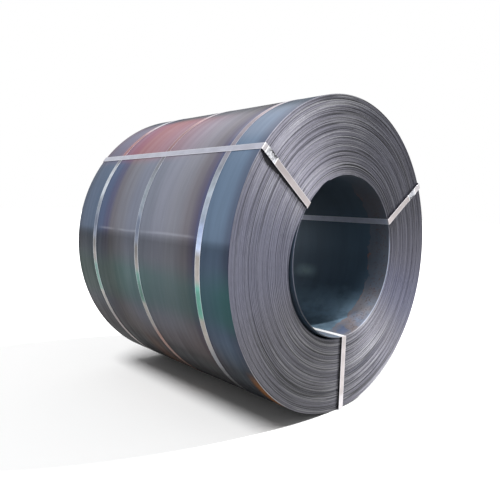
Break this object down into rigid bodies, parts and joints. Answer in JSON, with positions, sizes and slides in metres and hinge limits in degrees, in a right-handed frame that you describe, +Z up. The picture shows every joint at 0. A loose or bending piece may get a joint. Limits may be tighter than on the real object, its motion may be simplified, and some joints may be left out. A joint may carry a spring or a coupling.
{
  "type": "steel coil",
  "caption": "Coil of hot rolled steel strip lying on its side, bound with flat steel strapping round the outside and through the eye.",
  "frame": {"origin": "centre of the coil's eye at mid width", "axes": "+Z up; +Y along the eye towards the back face; the front face with two visible strap seals looks along -Y"},
  "size_m": [1.1819, 1.0158, 1.183],
  "materials": {
    "hot_rolled_strip": "satin mill scale",
    "zinc_strapping": "satin zinc"
  },
  "bodies": {
    "root": {"coil": "hot_rolled_strip", "band_front": "zinc_strapping", "band_middle": "zinc_strapping", "band_back": "zinc_strapping", "eye_strap_left": "zinc_strapping", "eye_strap_right": "zinc_strapping", "eye_strap_bottom": "zinc_strapping", "seal_left": "zinc_strapping", "seal_right": "zinc_strapping", "seal_bottom": "zinc_strapping", "seal_band_front": "zinc_strapping", "seal_band_middle": "zinc_strapping", "seal_band_back": "zinc_strapping"}
  },
  "joints": []
}
